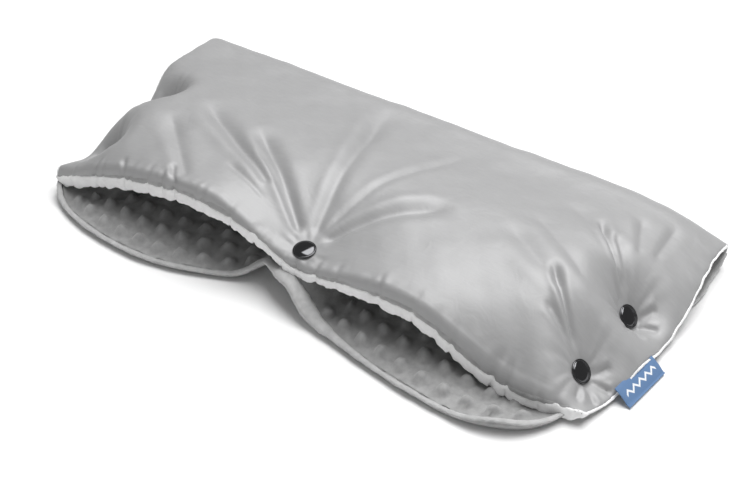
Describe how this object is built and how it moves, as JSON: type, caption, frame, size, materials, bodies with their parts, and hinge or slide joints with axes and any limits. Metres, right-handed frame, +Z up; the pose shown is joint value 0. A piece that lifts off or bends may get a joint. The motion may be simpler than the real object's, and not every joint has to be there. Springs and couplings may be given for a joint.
{
  "type": "pushchair hand muff",
  "caption": "Padded hand muff that wraps over a pushchair handlebar: satin cover, plush lining, two hand openings parted by a press stud, and press-studded ends.",
  "frame": {"origin": "on the flat underside of the lower half, in the middle of the muff's width, under the middle of its depth", "axes": "+X along the muff to the end with the sewn label, -Y towards the two hand openings, +Z up"},
  "size_m": [0.522, 0.2728, 0.072],
  "materials": {
    "cover_satin": "silver-grey water-repellent polyester with a satin sheen",
    "wadding_fleece": "soft polyester wadding",
    "lining_plush": "light grey plush with raised dots",
    "stud_metal": "polished nickel plate",
    "label_ribbon": "woven blue ribbon"
  },
  "bodies": {
    "lower_half": {"cover_lower": "cover_satin", "edge_band_lower": "lining_plush", "lining_lower": "lining_plush", "snap_back_centre": "stud_metal", "snap_back_left_back": "stud_metal", "snap_back_left_front": "stud_metal", "snap_back_right_back": "stud_metal", "snap_back_right_front": "stud_metal", "snap_stud_centre": "stud_metal", "snap_stud_left_back": "stud_metal", "snap_stud_left_front": "stud_metal", "snap_stud_right_back": "stud_metal", "snap_stud_right_front": "stud_metal", "wadding_lower": "wadding_fleece"},
    "upper_half": {"cover_upper": "cover_satin", "edge_band_upper": "lining_plush", "label": "label_ribbon", "lining_upper": "lining_plush", "snap_cap_centre": "stud_metal", "snap_cap_left_back": "stud_metal", "snap_cap_left_front": "stud_metal", "snap_cap_right_back": "stud_metal", "snap_cap_right_front": "stud_metal", "snap_socket_centre": "stud_metal", "snap_socket_left_back": "stud_metal", "snap_socket_left_front": "stud_metal", "snap_socket_right_back": "stud_metal", "snap_socket_right_front": "stud_metal", "wadding_upper": "wadding_fleece"}
  },
  "joints": [
    {"name": "fold_hinge", "type": "hinge", "parent": "lower_half", "child": "upper_half", "pos_m": [0, 0.134, 0.018], "axis": [-1, 0, 0], "range_deg": [0, 150]}
  ]
}
